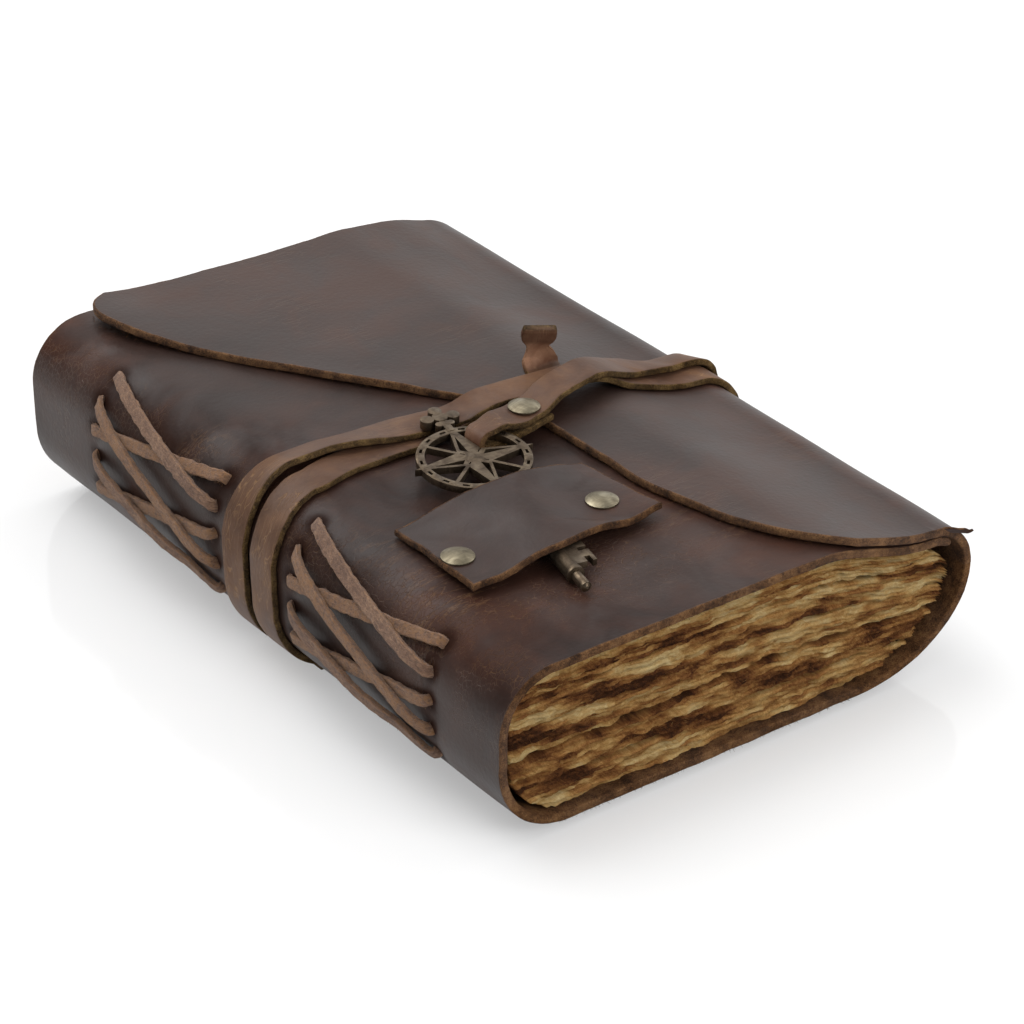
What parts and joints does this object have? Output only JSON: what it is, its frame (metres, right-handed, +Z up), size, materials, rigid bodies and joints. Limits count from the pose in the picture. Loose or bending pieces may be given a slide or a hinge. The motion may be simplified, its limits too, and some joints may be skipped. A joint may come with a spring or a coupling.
{
  "type": "leather journal",
  "caption": "Hand-bound wrap journal: soft leather cover with curved flap, deckle-edged pages, laced spine and a riveted wrap strap with a compass key held in a keeper.",
  "frame": {"origin": "middle of the footprint, on the plane that the strap's turns rest on", "axes": "+X from the spine to the fore-edge, +Y from the tail to the head, +Z up through the front cover"},
  "size_m": [0.1456, 0.205, 0.0637],
  "materials": {
    "cover_leather": "waxed pull-up leather, dark brown with a soft sheen",
    "rag_paper": "tea-stained handmade paper with torn edges",
    "suede": "matt suede",
    "strap_leather": "waxed leather, worn lighter on the bends",
    "keeper_leather": "waxed leather with a raw cut edge",
    "antique_brass": "darkened antique brass"
  },
  "bodies": {
    "root": {"cover": "cover_leather", "page_block": "rag_paper", "thong_tail": "suede", "thong_head": "suede", "strap": "strap_leather", "keeper_patch": "keeper_leather", "compass_key": "antique_brass", "keeper_cap_left": "antique_brass", "keeper_back_left": "antique_brass", "keeper_cap_right": "antique_brass", "keeper_back_right": "antique_brass", "strap_cap": "antique_brass", "strap_back": "antique_brass"}
  },
  "joints": []
}
